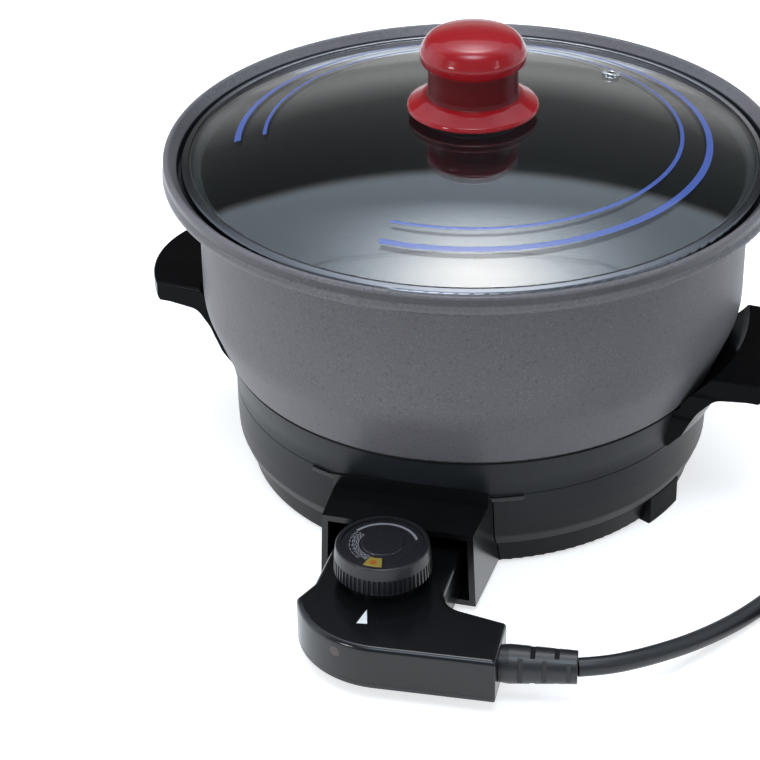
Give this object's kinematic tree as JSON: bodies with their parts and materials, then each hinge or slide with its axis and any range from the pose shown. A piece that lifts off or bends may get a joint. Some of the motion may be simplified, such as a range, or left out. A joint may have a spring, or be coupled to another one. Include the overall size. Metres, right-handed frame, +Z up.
{
  "type": "electric hot pot with lid",
  "caption": "Electric hot pot: round pot with rolled rim on a plastic base with ear handles, loose glass lid, plug-in temperature control with dial and cord.",
  "frame": {"origin": "on the pot's axis, in the plane of the feet", "axes": "+Z up along the pot's axis; -Y towards the plug-in temperature control; the ear handles lie near the X axis"},
  "size_m": [0.4521, 0.3739, 0.2278],
  "materials": {
    "pot_paint": "cast aluminium, grey speckled non-stick coating, satin",
    "base_plastic": "dark blue-grey phenolic, semi-gloss, draws no pattern",
    "handle_plastic": "black phenolic, semi-gloss",
    "gloss_black": "black, moulded gloss",
    "dial_black": "black, moulded gloss, fine ribs",
    "knob_red": "red phenolic, gloss",
    "lid_glass": "clear tempered glass, smooth",
    "stainless": "stainless, bright",
    "zinc_steel": "zinc plated",
    "brass": "plain",
    "element_steel": "heat-tinted sheath",
    "socket_metal": "as cast",
    "ceramic": "white insulating ceramic",
    "silicone": "matte silicone",
    "feet_rubber": "matte",
    "lens_red": "translucent red",
    "switch_body": "brown laminate",
    "cord_rubber": "black, satin"
  },
  "bodies": {
    "pot_on_base": {"pot": "pot_paint", "seam_gasket": "silicone", "base_upper_ring": "base_plastic", "base_skirt": "base_plastic", "base_tray": "gloss_black", "feet": "feet_rubber", "left_handle": "handle_plastic", "right_handle": "handle_plastic", "handle_screws": "zinc_steel", "connector_guard": "gloss_black", "guard_screws": "zinc_steel", "heating_element": "element_steel", "element_clamps": "zinc_steel", "terminal_pins": "stainless", "pin_insulators": "ceramic", "probe_socket": "socket_metal", "heat_shield": "stainless", "centre_stud": "zinc_steel", "stud_nuts": "zinc_steel"},
    "lid": {"lid_glass": "lid_glass", "lid_band": "stainless", "vent_eyelet": "stainless", "knob_gasket": "silicone", "knob_base": "knob_red", "knob_cap": "knob_red", "knob_screw": "zinc_steel", "knob_washer": "stainless"},
    "control": {"control_base": "gloss_black", "control_cover": "gloss_black", "control_screws": "zinc_steel", "dial_collar": "gloss_black", "thermostat_switch": "switch_body", "thermostat_probe": "stainless", "contact_sleeves": "brass", "pilot_lens": "lens_red", "strain_relief": "cord_rubber", "cord": "cord_rubber", "cord_coil": "cord_rubber", "plug_body": "cord_rubber", "plug_pins": "stainless"},
    "dial": {"dial": "dial_black", "dial_plate": "dial_black", "dial_shaft": "zinc_steel"}
  },
  "joints": [
    {"name": "lid_lift", "type": "slide", "parent": "pot_on_base", "child": "lid", "axis": [0, 0, 1], "range_m": [0, 0.12]},
    {"name": "control_unplug", "type": "slide", "parent": "pot_on_base", "child": "control", "axis": [0, -1, 0], "range_m": [0, 0.09]},
    {"name": "dial_turn", "type": "hinge", "parent": "control", "child": "dial", "pos_m": [0, -0.17, 0.043], "axis": [0, 0, 1], "range_deg": [0, 250]}
  ]
}
